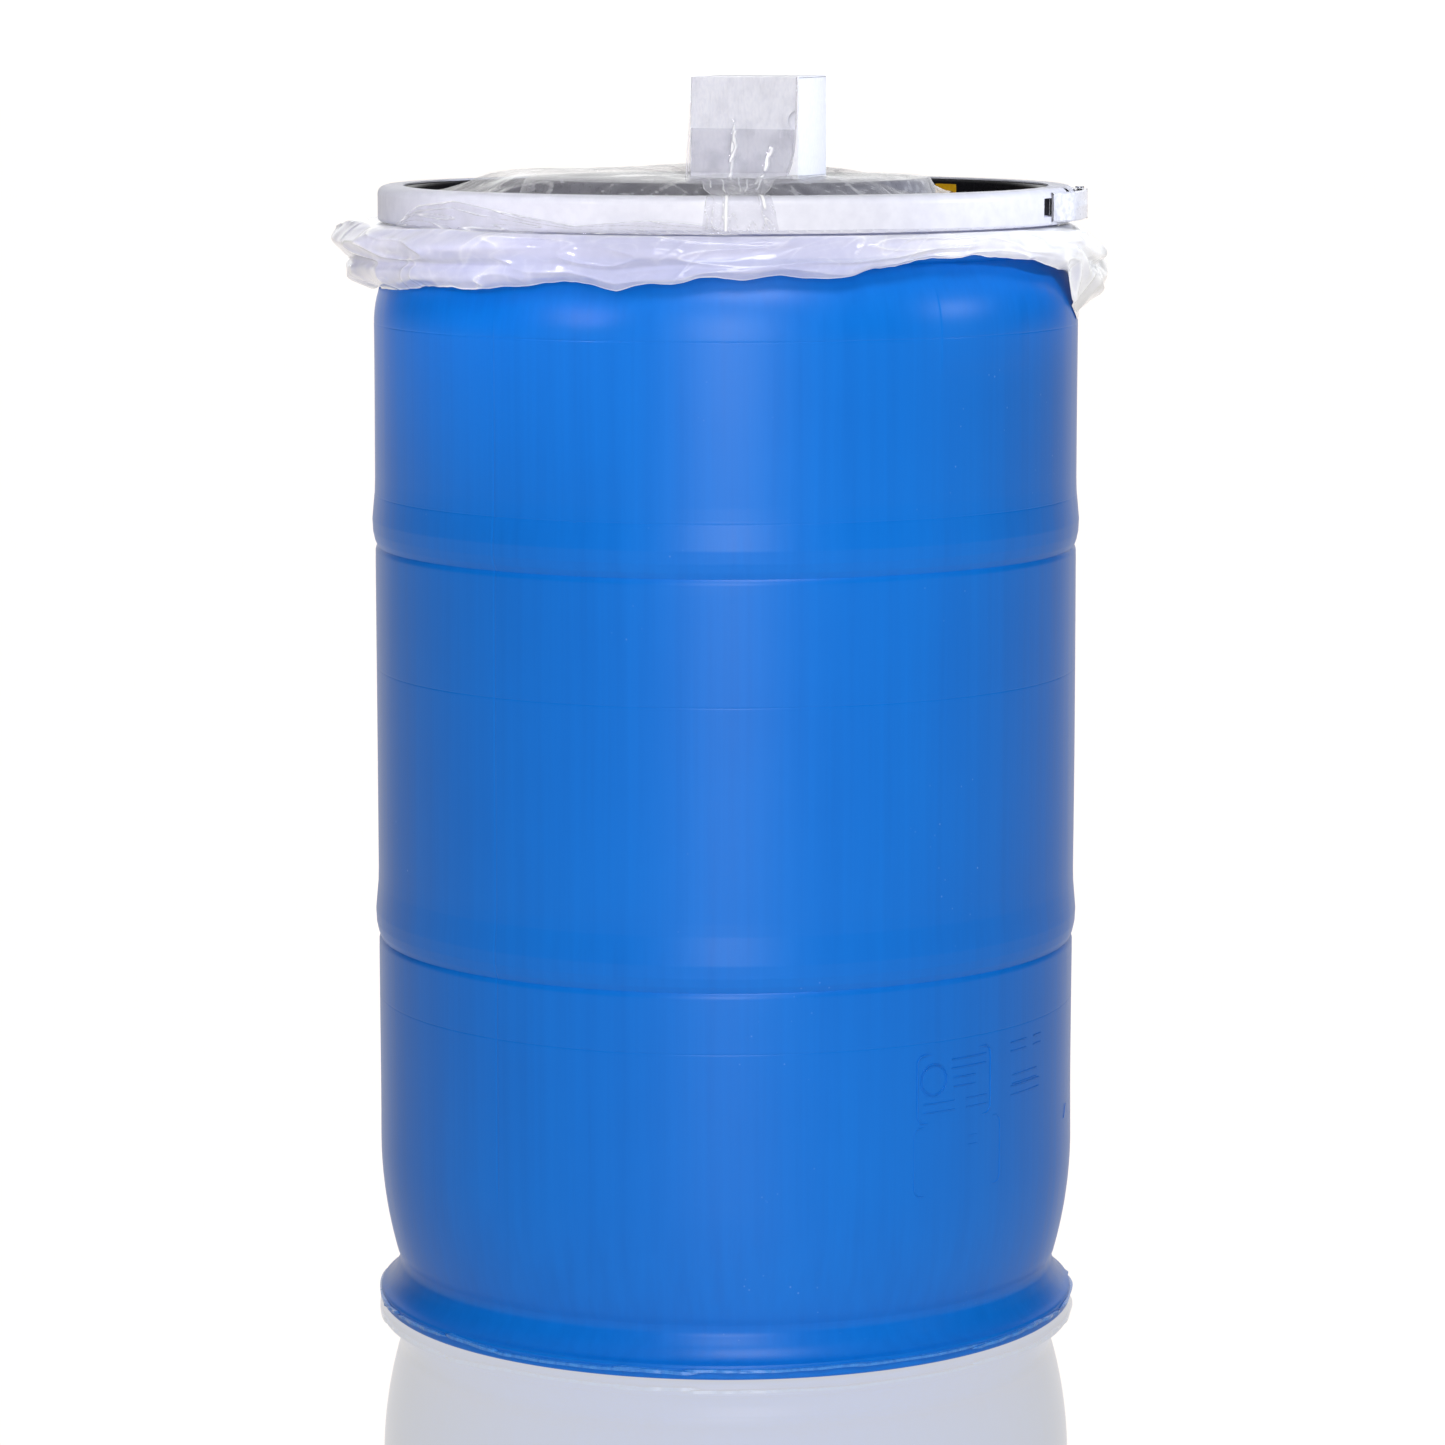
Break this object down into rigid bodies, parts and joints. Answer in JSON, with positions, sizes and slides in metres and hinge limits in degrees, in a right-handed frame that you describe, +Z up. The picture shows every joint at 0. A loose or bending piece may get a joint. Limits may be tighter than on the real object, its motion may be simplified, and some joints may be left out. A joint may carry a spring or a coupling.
{
  "type": "plastic drum",
  "caption": "Open-head blue plastic drum with a black lid, a steel lever-lock closing ring, a clear bag liner and a small carton strapped on top.",
  "frame": {"origin": "centre of the drum's foot, on the floor", "axes": "+Z up along the drum's axis; -Y is the front, with the strip; +X is the lever's side"},
  "size_m": [0.64, 0.5858, 1.0213],
  "materials": {
    "drum_hdpe": "blow-moulded polyethylene, satin",
    "liner_film": "thin clear polyethylene film, wrinkled",
    "lid_plastic": "injection-moulded polyethylene, satin",
    "gasket_rubber": "soft foam rubber",
    "tag_vinyl": "vinyl sticker",
    "cover_film": "glossy clear film",
    "strip_film": "glossy clear film",
    "carton_board": "coated white paperboard, satin",
    "ring_steel": "galvanised, lacquered light grey",
    "latch_steel": "galvanised, lacquered light grey",
    "pin_steel": "zinc plated"
  },
  "bodies": {
    "drum": {"drum_shell": "drum_hdpe", "liner_bag": "liner_film", "liner_cuff": "liner_film"},
    "lid": {"lid": "lid_plastic", "lid_gasket": "gasket_rubber", "lid_tag": "tag_vinyl", "cover_film": "cover_film", "carton": "carton_board", "hold_down_strip": "strip_film"},
    "carton_end": {"carton_end_panel": "carton_board"},
    "carton_top_flap": {"top_dust_flap": "carton_board"},
    "carton_bottom_flap": {"bottom_dust_flap": "carton_board"},
    "ring": {"closing_band": "ring_steel", "lever_bracket": "ring_steel", "lever_pin": "pin_steel", "seal_lug": "ring_steel", "strip_tail": "strip_film"},
    "lever": {"lever": "latch_steel", "toggle_pin": "pin_steel"},
    "draw_plate": {"draw_plate": "latch_steel"}
  },
  "joints": [
    {"name": "lid_lift", "type": "slide", "parent": "drum", "child": "lid", "axis": [0, 0, 1], "range_m": [0, 0.15], "deforming": ["closing_band"]},
    {"name": "ring_lift", "type": "slide", "parent": "lid", "child": "ring", "axis": [0, 0, 1], "range_m": [0, 0.15], "deforming": ["closing_band"]},
    {"name": "lever_swing", "type": "hinge", "parent": "ring", "child": "lever", "pos_m": [0.28891, -0.03037, 0.91785], "axis": [0, 0, -1], "range_deg": [0, 150]},
    {"name": "draw_plate_swing", "type": "hinge", "parent": "lever", "child": "draw_plate", "pos_m": [0.29038, -0.00842, 0.91785], "axis": [0, 0, 1], "range_deg": [0, 150]},
    {"name": "carton_end_swing", "type": "hinge", "parent": "lid", "child": "carton_end", "pos_m": [0.08208, 0.01045, 0.9393], "axis": [0, 0, 1], "range_deg": [0, 130]},
    {"name": "top_flap_swing", "type": "hinge", "parent": "lid", "child": "carton_top_flap", "pos_m": [0.06892, -0.03323, 1.0199], "axis": [-0.2588, -0.9659, 0], "range_deg": [0, 85]},
    {"name": "bottom_flap_swing", "type": "hinge", "parent": "lid", "child": "carton_bottom_flap", "pos_m": [0.06892, -0.03323, 0.9407], "axis": [0.2588, 0.9659, 0], "range_deg": [0, 85]}
  ],
  "couplings": [
    {"joint": "draw_plate_swing", "follows": "lever_swing", "ratio": 1},
    {"joint": "top_flap_swing", "follows": "carton_end_swing", "ratio": 0.65},
    {"joint": "bottom_flap_swing", "follows": "carton_end_swing", "ratio": 0.65}
  ]
}
